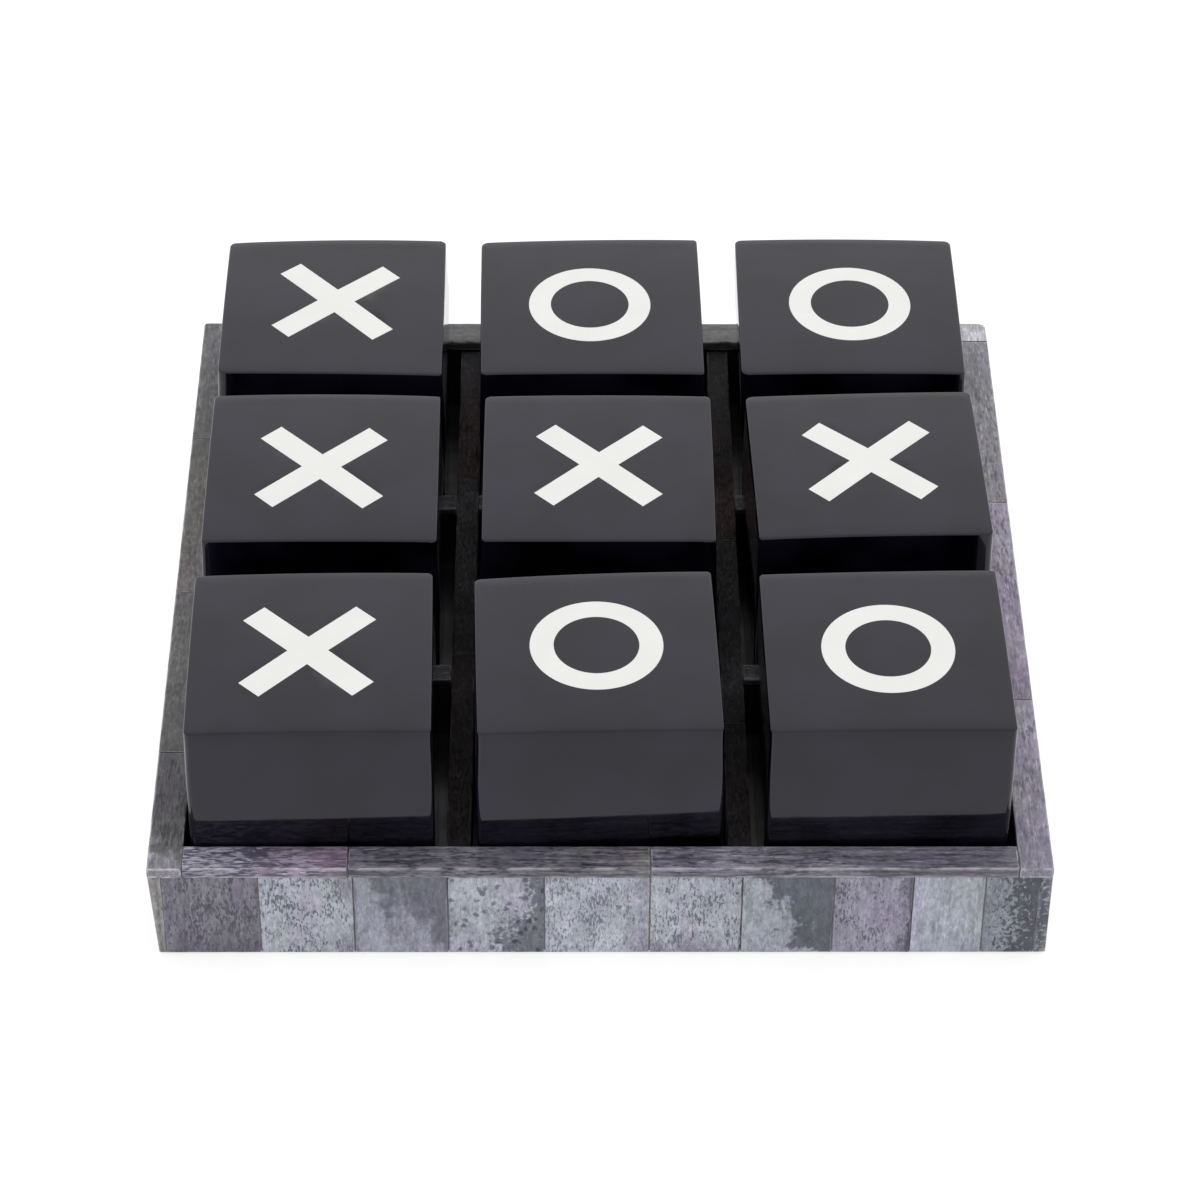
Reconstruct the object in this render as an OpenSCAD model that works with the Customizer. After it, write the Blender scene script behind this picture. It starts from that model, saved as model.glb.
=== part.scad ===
// Tic tac toe set: an open square tray with a three by three grid of cells,
// clad in strips of dyed bone, and nine loose resin blocks that lift out.
// X runs left to right, Y front to back, Z up; Z = 0 is the table.

/* [Tray] */
// Width of the tray over its rim, left to right
tray_w = 200; // [198:0.5:206]
// Depth of the tray over its rim, front to back
tray_d = 200; // [199:0.5:206]
// Height of the tray, from the table to the top of its rim
tray_h = 27.2; // [26:0.2:34]
// Width of the rim
rim_w = 7.3; // [6.6:0.1:7.4]
// Thickness of the floor board
board_t = 6; // [4:0.5:8]
// How far the floor board's edge is let into the rails
rebate = 2; // [1:0.5:3]
// Thickness of the felt under the tray
felt_t = 0.6; // [0.4:0.1:1]
// How far the felt stops short of the tray's faces
felt_inset = 1.5; // [1:0.5:4]

/* [Bone strips] */
// Thickness of the strips on the outer faces
face_strip_t = 2.2; // [1.8:0.1:2.4]
// Thickness of the strips along the rim
rim_strip_t = 3; // [2:0.1:4]
// How far the rim strips stand out past the outer faces
rim_overhang = 0.4; // [0.2:0.1:0.8]
// How far the rim strips stand in past the inner walls
rim_lip = 0.2; // [0.1:0.1:0.4]
// Width of the filled joint between two strips
joint_w = 0.2; // [0.1:0.05:0.4]

/* [Dividers] */
// Thickness of the dividers between cells
divider_w = 5.4; // [4.5:0.1:6]
// Distance from the middle of the grid to the middle of each divider
divider_pitch = 31.4; // [31:0.1:32]
// How far the dividers' tops lie below the top of the rim
divider_drop = 3.3; // [2:0.1:8]
// Thickness of the bone caps on the dividers
cap_t = 2; // [1.5:0.1:3]
// How far the glued grid lies off the tray's middle, left to right
grid_x = -0.3; // [-0.5:0.1:0.5]
// How far the glued grid lies off the tray's middle, front to back
grid_y = 0.6; // [-0.6:0.1:0.6]

/* [Blocks] */
// Side of a block, which is a cube
block = 54; // [50:0.5:54]
// Radius of a block's four upright corners
block_r = 3; // [1:0.5:6]
// Air between a block's underside and the tray's floor
block_gap = 0.1; // [0.05:0.05:0.3]

/* [Symbols] */
// Outer diameter of the ring
ring_d = 29.8; // [24:0.1:36]
// Width of the ring's band
ring_band = 5.4; // [4:0.1:7]
// Length of each bar of the cross
cross_l = 35.9; // [28:0.1:42]
// Width of each bar of the cross
cross_w = 6.5; // [4:0.1:8]
// Depth that the symbols are let into the blocks
inlay_t = 2; // [1:0.5:3]
// Glue gap round a symbol
glue_gap = 0.05; // [0.02:0.01:0.1]

/* [Hidden] */
$fn = 64;

// Heights above the table
floor_z = felt_t + board_t;
rim_z = tray_h - rim_strip_t;
divider_z = tray_h - divider_drop;
block_z = floor_z + block_gap;

// Half widths (x) and half depths (y) of the tray's layers, from outside in
half = [tray_w / 2, tray_d / 2];
face_half = half - [rim_overhang, rim_overhang];
rail_half = face_half - [face_strip_t, face_strip_t];
well_half = half - [rim_w, rim_w];
wall_half = well_half + [rim_lip, rim_lip];
board_half = wall_half + [rebate, rebate];

// Middles of the dividers
divider_x = [grid_x - divider_pitch, grid_x + divider_pitch];
divider_y = [grid_y - divider_pitch, grid_y + divider_pitch];

// Joints between the strips, measured from the middle of each side
front_joints = [-76, -55, -34, -12.5, 11, 31.5, 52, 69.5, 85.5];
back_joints = [-80, -58.5, -37, -17, 4.5, 26, 47, 66.5, 84];
left_joints = [-79, -58, -37.5, -15.5, 6, 27, 48.5, 70, 86];
right_joints = [-83, -61, -40, -19.5, 2, 23.5, 44, 65, 82];
front_rim_joints = [-56, 11];
back_rim_joints = [-22, 47];
left_rim_joints = [-62, -6, 53];
right_rim_joints = [-44, 28, 93];
left_cap_joints = [-24, 41];
right_cap_joints = [-48, 17];

// How each block lies in its cell: off the cell's middle in x and y, and turned
front_left_lie = [-0.7, -1.8, 0.9];
front_middle_lie = [-0.6, -1.5, 1.6];
front_right_lie = [0, -1.3, 0.7];
middle_left_lie = [-0.7, -0.6, 0.3];
centre_lie = [0.2, -0.5, -0.1];
middle_right_lie = [-0.5, 0.4, 1.6];
back_left_lie = [-0.8, -1.3, 0.1];
back_middle_lie = [-1.2, -1, 0.6];
back_right_lie = [-1.8, -0.8, -0.1];

// How each symbol was set in its block: off the block's middle in x and y,
// then, for a cross, the turns of its two bars
front_left_set = [-0.6, -0.4, 0, -0.9];
front_middle_set = [0, 1.2];
front_right_set = [0.5, -0.1];
middle_left_set = [-0.4, -0.4, -1.4, -1.5];
centre_set = [0.1, 0.3, -0.5, -1];
middle_right_set = [0.6, 1.1, -0.6, 1.3];
back_left_set = [0.5, 1.9, -2.3, -3.9];
back_middle_set = [-0.3, 0.4];
back_right_set = [0.4, 0.6];

// The middles of the cells: columns in x, rows in y
function cells(walls, dividers) = [
    (dividers[0] - divider_w / 2 - walls) / 2,
    (dividers[0] + dividers[1]) / 2,
    (dividers[1] + divider_w / 2 + walls) / 2
];
column_x = cells(wall_half.x, divider_x);
row_y = cells(wall_half.y, divider_y);

felt_colour = [0.07, 0.07, 0.08];
lacquer_colour = [0.05, 0.05, 0.06];
bone_colour = [0.56, 0.57, 0.62];
cap_colour = [0.30, 0.29, 0.32];
resin_colour = [0.13, 0.13, 0.15];
ivory_colour = [0.92, 0.92, 0.90];

// A block of material between two opposite corners
module bar(low, high) {
    translate(low)
        cube(high - low);
}

// A row of strips along X from -length/2 to length/2, split at the joints;
// low and high give the strips' section in y and z
module strip_row(length, joints, low, high) {
    ends = concat([-length / 2], joints, [length / 2]);
    for (i = [0 : len(ends) - 2])
        bar([ends[i] + (i == 0 ? 0 : joint_w / 2), low.x, low.y],
            [ends[i + 1] - (i == len(ends) - 2 ? 0 : joint_w / 2), high.x, high.y]);
}

// ---- Tray ----

module base_felt() {
    color(felt_colour)
        bar([felt_inset - half.x, felt_inset - half.y, 0],
            [half.x - felt_inset, half.y - felt_inset, felt_t]);
}

module base_board() {
    color(lacquer_colour)
        bar([-board_half.x, -board_half.y, felt_t], [board_half.x, board_half.y, floor_z]);
}

// The rail on one side; the front and back rails run the full width,
// and the left and right rails fit between them
module rail(low, high) {
    color(lacquer_colour)
        difference() {
            bar([low.x, low.y, felt_t], [high.x, high.y, rim_z]);
            bar([-board_half.x, -board_half.y, felt_t - 1], [board_half.x, board_half.y, floor_z]);
        }
}

module front_rail() {
    rail([-rail_half.x, -rail_half.y], [rail_half.x, -wall_half.y]);
}

module back_rail() {
    rail([-rail_half.x, wall_half.y], [rail_half.x, rail_half.y]);
}

module left_rail() {
    rail([-rail_half.x, -wall_half.y], [-wall_half.x, wall_half.y]);
}

module right_rail() {
    rail([wall_half.x, -wall_half.y], [rail_half.x, wall_half.y]);
}

// ---- Bone cladding ----

// Strips on an outer face: side strips cover the ends of the front and back rows
module face_strips(length, depth, joints) {
    color(bone_colour)
        strip_row(length, joints, [-depth, felt_t], [face_strip_t - depth, rim_z]);
}

module front_face_strips() {
    face_strips(2 * rail_half.x, face_half.y, front_joints);
}

module back_face_strips() {
    rotate(180)
        face_strips(2 * rail_half.x, face_half.y, back_joints);
}

module left_face_strips() {
    rotate(-90)
        face_strips(2 * face_half.y, face_half.x, left_joints);
}

module right_face_strips() {
    rotate(90)
        face_strips(2 * face_half.y, face_half.x, right_joints);
}

// Strips along the top of a rail: those on the left and right run corner to corner
module rim_strips(length, depth, joints) {
    color(bone_colour)
        strip_row(length, joints, [-depth, rim_z], [rim_w - depth, tray_h]);
}

module front_rim_strips() {
    rim_strips(2 * well_half.x - joint_w, half.y, front_rim_joints);
}

module back_rim_strips() {
    translate([0, 2 * half.y - rim_w, 0])
        rim_strips(2 * well_half.x - joint_w, half.y, back_rim_joints);
}

module left_rim_strips() {
    rotate(90)
        translate([0, 2 * half.x - rim_w, 0])
            rim_strips(2 * half.y, half.x, left_rim_joints);
}

module right_rim_strips() {
    rotate(90)
        rim_strips(2 * half.y, half.x, right_rim_joints);
}

// ---- Dividers ----

// One long divider from the front wall to the back wall, between two heights
module long_divider(x, low_z, high_z) {
    bar([x - divider_w / 2, -wall_half.y, low_z], [x + divider_w / 2, wall_half.y, high_z]);
}

// Three short cross bars in one row, which fill the spaces beside the long dividers
module cross_bars(y, low_z, high_z) {
    starts = [-wall_half.x, divider_x[0] + divider_w / 2, divider_x[1] + divider_w / 2];
    ends = [divider_x[0] - divider_w / 2, divider_x[1] - divider_w / 2, wall_half.x];
    for (i = [0 : 2])
        bar([starts[i], y - divider_w / 2, low_z], [ends[i], y + divider_w / 2, high_z]);
}

// The bone cap of a long divider, in strips end to end
module long_cap(x, joints) {
    color(cap_colour)
        translate([x, 0, 0])
            rotate(90)
                strip_row(2 * wall_half.y, joints, [-divider_w / 2, divider_z - cap_t],
                          [divider_w / 2, divider_z]);
}

module left_divider() {
    color(lacquer_colour)
        long_divider(divider_x[0], floor_z, divider_z - cap_t);
}

module right_divider() {
    color(lacquer_colour)
        long_divider(divider_x[1], floor_z, divider_z - cap_t);
}

module front_cross_bars() {
    color(lacquer_colour)
        cross_bars(divider_y[0], floor_z, divider_z - cap_t);
}

module back_cross_bars() {
    color(lacquer_colour)
        cross_bars(divider_y[1], floor_z, divider_z - cap_t);
}

module left_divider_cap() {
    long_cap(divider_x[0], left_cap_joints);
}

module right_divider_cap() {
    long_cap(divider_x[1], right_cap_joints);
}

module front_cross_caps() {
    color(cap_colour)
        cross_bars(divider_y[0], divider_z - cap_t, divider_z);
}

module back_cross_caps() {
    color(cap_colour)
        cross_bars(divider_y[1], divider_z - cap_t, divider_z);
}

// ---- Blocks and their symbols ----

// Puts a block's contents in a cell, as the block lies there
module in_cell(column, row, lie) {
    translate([column_x[column] + lie[0], row_y[row] + lie[1], block_z])
        rotate(lie[2])
            children();
}

// A square with round corners, as plain arcs and straight sides
module rounded_square(side, r) {
    square([side, side - 2 * r], center = true);
    square([side - 2 * r, side], center = true);
    for (x = [-1, 1], y = [-1, 1])
        translate([x, y] * (side / 2 - r))
            circle(r);
}

// The outlines of the symbols where they were set; grow widens them all round
module ring_shape(set, grow = 0) {
    translate([set[0], set[1]])
        difference() {
            circle(ring_d / 2 + grow);
            circle(ring_d / 2 - ring_band - grow);
        }
}

module cross_shape(set, grow = 0) {
    translate([set[0], set[1]])
        for (turn = [45 + set[2], -45 + set[3]])
            rotate(turn)
                square([cross_l + 2 * grow, cross_w + 2 * grow], center = true);
}

// A solid block with a pocket in its top for a symbol
module resin_block() {
    color(resin_colour)
        difference() {
            linear_extrude(block)
                rounded_square(block, block_r);
            translate([0, 0, block - inlay_t])
                linear_extrude(inlay_t + 1)
                    children();
        }
}

module cross_block(set) {
    resin_block()
        cross_shape(set, glue_gap);
}

module ring_block(set) {
    resin_block()
        ring_shape(set, glue_gap);
}

// A symbol that lies flush with the block's top
module inlay() {
    color(ivory_colour)
        translate([0, 0, block - inlay_t])
            linear_extrude(inlay_t)
                children();
}

module cross_inlay(set) {
    inlay()
        cross_shape(set);
}

module ring_inlay(set) {
    inlay()
        ring_shape(set);
}

base_felt();
base_board();
front_rail();
back_rail();
left_rail();
right_rail();
front_face_strips();
back_face_strips();
left_face_strips();
right_face_strips();
front_rim_strips();
back_rim_strips();
left_rim_strips();
right_rim_strips();
left_divider();
right_divider();
front_cross_bars();
back_cross_bars();
left_divider_cap();
right_divider_cap();
front_cross_caps();
back_cross_caps();
in_cell(0, 2, back_left_lie) cross_block(back_left_set);  // back_left_block
in_cell(1, 2, back_middle_lie) ring_block(back_middle_set);  // back_middle_block
in_cell(2, 2, back_right_lie) ring_block(back_right_set);  // back_right_block
in_cell(0, 1, middle_left_lie) cross_block(middle_left_set);  // middle_left_block
in_cell(1, 1, centre_lie) cross_block(centre_set);  // centre_block
in_cell(2, 1, middle_right_lie) cross_block(middle_right_set);  // middle_right_block
in_cell(0, 0, front_left_lie) cross_block(front_left_set);  // front_left_block
in_cell(1, 0, front_middle_lie) ring_block(front_middle_set);  // front_middle_block
in_cell(2, 0, front_right_lie) ring_block(front_right_set);  // front_right_block
in_cell(0, 2, back_left_lie) cross_inlay(back_left_set);  // back_left_cross
in_cell(1, 2, back_middle_lie) ring_inlay(back_middle_set);  // back_middle_ring
in_cell(2, 2, back_right_lie) ring_inlay(back_right_set);  // back_right_ring
in_cell(0, 1, middle_left_lie) cross_inlay(middle_left_set);  // middle_left_cross
in_cell(1, 1, centre_lie) cross_inlay(centre_set);  // centre_cross
in_cell(2, 1, middle_right_lie) cross_inlay(middle_right_set);  // middle_right_cross
in_cell(0, 0, front_left_lie) cross_inlay(front_left_set);  // front_left_cross
in_cell(1, 0, front_middle_lie) ring_inlay(front_middle_set);  // front_middle_ring
in_cell(2, 0, front_right_lie) ring_inlay(front_right_set);  // front_right_ring
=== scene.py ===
import math
import random

import bmesh
import bpy
import numpy as np
from mathutils import Matrix, Vector
from mathutils.geometry import delaunay_2d_cdt


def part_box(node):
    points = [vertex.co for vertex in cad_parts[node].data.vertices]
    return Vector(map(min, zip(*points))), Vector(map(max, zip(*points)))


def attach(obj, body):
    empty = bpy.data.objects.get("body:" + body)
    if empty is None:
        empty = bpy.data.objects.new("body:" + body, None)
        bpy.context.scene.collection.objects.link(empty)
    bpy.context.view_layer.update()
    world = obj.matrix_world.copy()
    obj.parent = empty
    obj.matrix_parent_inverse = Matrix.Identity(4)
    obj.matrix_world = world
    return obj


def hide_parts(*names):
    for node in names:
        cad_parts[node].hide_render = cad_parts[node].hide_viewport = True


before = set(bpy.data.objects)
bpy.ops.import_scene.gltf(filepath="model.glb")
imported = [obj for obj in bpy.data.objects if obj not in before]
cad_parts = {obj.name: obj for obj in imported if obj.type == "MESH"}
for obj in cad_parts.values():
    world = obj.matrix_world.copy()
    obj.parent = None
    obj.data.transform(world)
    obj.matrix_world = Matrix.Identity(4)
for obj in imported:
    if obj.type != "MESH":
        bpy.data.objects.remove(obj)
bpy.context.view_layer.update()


# ---- Camera, table and light ----
# The set stands on a lit white table inside a white dome that is brightest at the
# back, the usual way to show polished black resin. A large soft light hangs above.

camera = bpy.data.objects.new("camera", bpy.data.cameras.new("camera"))
camera.data.lens = 125.8
camera.data.sensor_width = 36
eye = Vector((-0.0088, -0.7641, 0.6748))
pan, tilt, roll = (math.radians(angle) for angle in (0.70, 40.61, 0.47))
camera.matrix_world = (
    Matrix.Translation(eye)
    @ Matrix.Rotation(-pan, 4, "Z")
    @ Matrix.Rotation(math.pi / 2 - tilt, 4, "X")
    @ Matrix.Rotation(roll, 4, "Z")
)
bpy.context.scene.collection.objects.link(camera)
bpy.context.scene.camera = camera
bpy.context.scene.view_settings.view_transform = "Standard"


class Graph:
    """A node tree being laid out: each call adds one node and gives its output."""

    def __init__(self, tree):
        self.tree = tree

    def put(self, kind, sockets=None, out=0, **settings):
        node = self.tree.nodes.new(kind)
        for key, value in settings.items():
            setattr(node, key, value)
        for key, value in (sockets or {}).items():
            if isinstance(value, bpy.types.NodeSocket):
                self.tree.links.new(value, node.inputs[key])
            else:
                node.inputs[key].default_value = value
        return node.outputs[out]

    def calc(self, operation, *values):
        return self.put("ShaderNodeMath", dict(enumerate(values)), operation=operation)

    def vector(self, operation, *values):
        out = "Value" if operation in ("DOT_PRODUCT", "LENGTH") else "Vector"
        return self.put("ShaderNodeVectorMath", dict(enumerate(values)), out, operation=operation)

    def fade(self, value, low, high, start=0, end=1):
        return self.put("ShaderNodeMapRange", {0: value, 1: low, 2: high, 3: start, 4: end},
                        interpolation_type="SMOOTHSTEP")

    def noise(self, place, stretch, detail=2, distortion=0):
        stretched = self.vector("MULTIPLY", place, stretch)
        return self.put("ShaderNodeTexNoise", {"Vector": stretched, "Scale": 1, "Detail": detail,
                                               "Distortion": distortion})

    def mix(self, amount, first, second, blend="MIX"):
        return self.put("ShaderNodeMix", {0: amount, 6: first, 7: second}, 2,
                        data_type="RGBA", blend_type=blend)

    def millimetres(self):
        place = self.tree.nodes.new("ShaderNodeTexCoord").outputs["Object"]
        return self.vector("MULTIPLY", place, (1000, 1000, 1000))


def new_finish(name):
    """A new material, its graph, and its surface shader's sockets."""
    material = bpy.data.materials.new(name)
    material.use_nodes = True
    surface = material.node_tree.nodes["Principled BSDF"]
    return material, Graph(material.node_tree), surface.inputs


def ink(red, green, blue):
    """A colour as it is matched, 0 to 255, turned into the shader's linear light."""
    return tuple(((c / 255 + 0.055) / 1.055) ** 2.4 for c in (red, green, blue)) + (1,)


def new_object(name, mesh):
    piece = bpy.data.objects.new(name, mesh)
    bpy.context.scene.collection.objects.link(piece)
    return piece


table_finish, graph, shader = new_finish("white_table")
cloudy = graph.noise(graph.millimetres(), (0.01, 0.01, 0.01))
graph.tree.links.new(graph.mix(cloudy, ink(148, 148, 148), ink(152, 152, 152)),
                     shader["Base Color"])
shader["Roughness"].default_value = 0.8
shader["Specular IOR Level"].default_value = 0.1
shader["Emission Color"].default_value = (1, 1, 1, 1)
shader["Emission Strength"].default_value = 0.74

table_mesh = bpy.data.meshes.new("table")
table_radius, table_sides, table_drop = 5, 64, 0.0001
table_mesh.from_pydata(
    [(table_radius * math.cos(i * math.tau / table_sides),
      table_radius * math.sin(i * math.tau / table_sides), -table_drop)
     for i in range(table_sides)],
    [], [range(table_sides)])
table_mesh.materials.append(table_finish)
new_object("table", table_mesh)

world = bpy.data.worlds.new("dome")
bpy.context.scene.world = world
world.use_nodes = True
graph = Graph(world.node_tree)
front_light, back_light, back_from, back_full = 1.08, 1.43, 0.6, 0.88
towards = graph.put("ShaderNodeSeparateXYZ", {0: graph.put("ShaderNodeTexCoord")}, "Y")
dome_light = graph.put("ShaderNodeMapRange", {0: towards, 1: back_from, 2: back_full,
                                              3: front_light, 4: back_light})
background = world.node_tree.nodes["Background"].inputs
graph.tree.links.new(dome_light, background["Strength"])
background["Color"].default_value = (1, 1, 1, 1)

softbox = bpy.data.objects.new("softbox", bpy.data.lights.new("softbox", "AREA"))
softbox.data.size = 0.9
softbox.data.energy = 5
softbox.location = (0.1, 0.2, 1.3)
softbox.rotation_euler = (Vector((0, 0, 0)) - softbox.location).to_track_quat("-Z", "Y").to_euler()
softbox.visible_glossy = False
softbox.visible_camera = False
bpy.context.scene.collection.objects.link(softbox)


# ---- Felt ----
# A square of thin black felt, cut with shears and glued under the floor board. It
# keeps the tray from scratching a table.

felt_low, felt_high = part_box("base_felt")
felt_cell = 0.0025
felt_cells = round((felt_high.x - felt_low.x) / felt_cell)
felt_wave, felt_nap = 0.0002, 0.00005
felt_rng = random.Random(4)


def felt_point(i, j, upper):
    """A point of the felt's grid: wavy at the cut edge, and slightly napped below."""
    x = felt_low.x + (felt_high.x - felt_low.x) * i / felt_cells
    y = felt_low.y + (felt_high.y - felt_low.y) * j / felt_cells
    if i in (0, felt_cells):
        x -= math.copysign(felt_wave, x) * (1 + math.sin(0.31 * j + 0.7 * math.sin(0.13 * j)))
    if j in (0, felt_cells):
        y -= math.copysign(felt_wave, y) * (1 + math.sin(0.27 * i + 0.9 * math.sin(0.17 * i)))
    return x, y, felt_high.z if upper else felt_low.z + felt_rng.uniform(0, felt_nap)


felt_grid = range(felt_cells + 1)
felt_points = [felt_point(i, j, upper) for upper in (0, 1) for i in felt_grid for j in felt_grid]
felt_row = felt_cells + 1
felt_layer = felt_row * felt_row
felt_faces = []
for i in range(felt_cells):
    for j in range(felt_cells):
        a = i * felt_row + j
        felt_faces.append((a, a + 1, a + felt_row + 1, a + felt_row))
        felt_faces.append(tuple(felt_layer + v for v in (a, a + felt_row, a + felt_row + 1, a + 1)))
felt_edge = ([(k, 0) for k in range(felt_cells)] + [(felt_cells, k) for k in range(felt_cells)]
             + [(k, felt_cells) for k in range(felt_cells, 0, -1)]
             + [(0, k) for k in range(felt_cells, 0, -1)])
felt_edge = [i * felt_row + j for i, j in felt_edge]
for a, b in zip(felt_edge, felt_edge[1:] + felt_edge[:1]):
    felt_faces.append((a, b, b + felt_layer, a + felt_layer))
felt_mesh = bpy.data.meshes.new("felt_pad")
felt_mesh.from_pydata(felt_points, [], felt_faces)

felt_finish, graph, shader = new_finish("black_felt")
place = graph.millimetres()
fibres = graph.noise(place, (5, 1.6, 5), 4, 2.5)
matted = graph.noise(place, (0.35, 0.35, 0.35), 3)
felt_colour = graph.mix(graph.fade(fibres, 0.35, 0.7), ink(20, 20, 22), ink(46, 46, 50))
graph.tree.links.new(graph.mix(graph.fade(matted, 0.4, 0.7, 0, 0.4), felt_colour, ink(34, 33, 35)),
                     shader["Base Color"])
graph.tree.links.new(graph.put("ShaderNodeBump", {"Strength": 0.8, "Distance": 0.0002,
                                                  "Height": fibres}), shader["Normal"])
shader["Roughness"].default_value = 1
shader["Specular IOR Level"].default_value = 0.1
shader["Sheen Weight"].default_value = 0.3
felt_mesh.materials.append(felt_finish)
felt = new_object("felt_pad", felt_mesh)
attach(felt, "tray")
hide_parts("base_felt")


# ---- Floor board, rails and dividers ----
# Thin boards glued into an open box with a three by three grid in it. All are sealed
# with black lacquer, brushed on along the grain and rubbed down to a satin finish.

lacquer, graph, shader = new_finish("black_lacquer")
place = graph.millimetres()
brushed = graph.noise(place, (0.09, 0.09, 2.2), 3)
pores = graph.noise(place, (0.5, 0.5, 4), 3, 0.6)
rubbed = graph.noise(place, (0.08, 0.08, 0.08), 2)
lacquer_colour = graph.mix(graph.fade(rubbed, 0.4, 0.7), ink(15, 14, 16), ink(27, 25, 27))
lacquer_colour = graph.mix(graph.fade(pores, 0.56, 0.7, 0, 0.5), lacquer_colour, ink(48, 42, 40))
graph.tree.links.new(lacquer_colour, shader["Base Color"])
graph.tree.links.new(graph.fade(graph.calc("ADD", brushed, rubbed), 0.7, 1.3, 0.3, 0.5),
                     shader["Roughness"])
graph.tree.links.new(
    graph.put("ShaderNodeBump", {"Strength": 0.35, "Distance": 0.00008,
                                 "Height": graph.calc("ADD", brushed, pores)}),
    shader["Normal"])
for board in ("base_board", "front_rail", "back_rail", "left_rail", "right_rail", "left_divider",
              "right_divider", "front_cross_bars", "back_cross_bars"):
    for material_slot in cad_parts[board].material_slots:
        material_slot.material = lacquer


# ---- Face strips ----
# Upright slips of dyed bone, sawn about 20 mm wide and 2 mm thick, glued edge to edge
# round the outside and sanded flush. No two take the dye alike: some stay pale and
# freckled with pores, some cloud over slate or lilac.

def strip_tree():
    """The nodes that make a row of strips: one slab with eased edges on each point."""
    tree = bpy.data.node_groups.new("strip_row", "GeometryNodeTree")
    for name, kind in (("Strips", "Geometry"), ("Across", "Vector"), ("Along", "Vector"),
                       ("Outward", "Vector"), ("Ease", "Vector"), ("Points X", "Int"),
                       ("Points Y", "Int"), ("Points Z", "Int"), ("Unevenness", "Float"),
                       ("Seed", "Int"), ("Finish", "Material")):
        tree.interface.new_socket(name, in_out="INPUT", socket_type="NodeSocket" + kind)
    tree.interface.new_socket("Strips", in_out="OUTPUT", socket_type="NodeSocketGeometry")
    graph = Graph(tree)
    given = tree.nodes.new("NodeGroupInput").outputs

    def store(geometry, name, value, kind="FLOAT_VECTOR"):
        return graph.put("GeometryNodeStoreNamedAttribute",
                         {"Geometry": geometry, "Name": name, "Value": value},
                         data_type=kind, domain="POINT")

    def recall(name):
        return graph.put("GeometryNodeInputNamedAttribute", {"Name": name},
                         data_type="FLOAT_VECTOR")

    def times(vector, factor):
        return graph.vector("MULTIPLY", vector, (factor, factor, factor))

    # Each point keeps its own place and a random draw; each slab's corners run from -1 to 1
    position = tree.nodes.new("GeometryNodeInputPosition").outputs[0]
    draw = graph.put("FunctionNodeRandomValue", {"Seed": given["Seed"]}, data_type="FLOAT_VECTOR")
    middles = store(store(given["Strips"], "middle", position), "draw", draw)
    slab = graph.put("GeometryNodeMeshCube",
                     {"Size": (2, 2, 2), "Vertices X": given["Points X"],
                      "Vertices Y": given["Points Y"], "Vertices Z": given["Points Z"]})
    slab = store(slab, "corner", position)
    strips = graph.put("GeometryNodeInstanceOnPoints", {"Points": middles, "Instance": slab})
    strips = graph.put("GeometryNodeRealizeInstances", {"Geometry": strips})

    # Points crowd towards the ends, and the outermost ones turn the eased edges
    corner, draw = recall("corner"), recall("draw")
    crowded = graph.vector("ADD", times(corner, 0.4),
                           times(graph.vector("SINE", times(corner, math.pi / 2)), 0.6))
    inner_half = graph.vector("SUBTRACT", recall("half"), given["Ease"])
    core = graph.vector("MULTIPLY", crowded, recall("half"))
    core = graph.vector("MINIMUM", core, inner_half)
    core = graph.vector("MAXIMUM", core, times(inner_half, -1))
    outermost = graph.vector("FLOOR", graph.vector("ADD", graph.vector("ABSOLUTE", corner),
                                                   (0.0005, 0.0005, 0.0005)))
    outermost = graph.vector("MULTIPLY", outermost, graph.vector("SIGN", corner))
    facing = graph.vector("NORMALIZE", outermost)
    local = graph.vector("ADD", core, graph.vector("MULTIPLY", facing, given["Ease"]))
    dents = graph.noise(graph.vector("ADD", local, times(draw, 9)), (160, 160, 160), 2)
    dents = graph.calc("MULTIPLY", dents, given["Unevenness"])
    sunk = graph.vector("MULTIPLY", facing, graph.put("ShaderNodeCombineXYZ",
                                                      {0: dents, 1: dents, 2: dents}))
    placed = graph.vector("SUBTRACT", graph.vector("ADD", recall("middle"), local), sunk)

    # What the finish reads: millimetres along the grain, place on the strip, and edges
    def turned(vector):
        return graph.put("ShaderNodeCombineXYZ",
                         {i: graph.vector("DOT_PRODUCT", vector, given[way])
                          for i, way in enumerate(("Across", "Along", "Outward"))})

    grain = graph.vector("ADD", times(turned(local), 1000), times(draw, 400))
    edge = graph.fade(graph.vector("LENGTH", outermost), 1, 1.42)
    strips = graph.put("GeometryNodeSetPosition", {"Geometry": strips, "Position": placed})
    strips = store(strips, "edge", edge, "FLOAT")
    strips = store(strips, "place", turned(corner))
    strips = store(strips, "grain", grain)
    for scratch in ("middle", "corner", "half", "draw"):
        strips = graph.put("GeometryNodeRemoveAttribute", {"Geometry": strips, "Name": scratch})
    strips = graph.put("GeometryNodeSetShadeSmooth", {"Geometry": strips})
    strips = graph.put("GeometryNodeRealizeInstances", {"Geometry": strips})
    strips = graph.put("GeometryNodeSetMaterial", {"Geometry": strips,
                                                   "Material": given["Finish"]})
    tree.links.new(strips, tree.nodes.new("NodeGroupOutput").inputs[0])
    return tree


strip_row = strip_tree()


def strip_boxes(node, run):
    """The middle and half size of each strip of a CAD row that runs along axis run."""
    low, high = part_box(node)
    ends = sorted({round(v.co[run], 5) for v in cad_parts[node].data.vertices})
    boxes = []
    for start, end in zip(ends[0::2], ends[1::2]):
        low[run], high[run] = start, end
        boxes.append(((low + high) / 2, (high - low) / 2))
    return boxes


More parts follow.
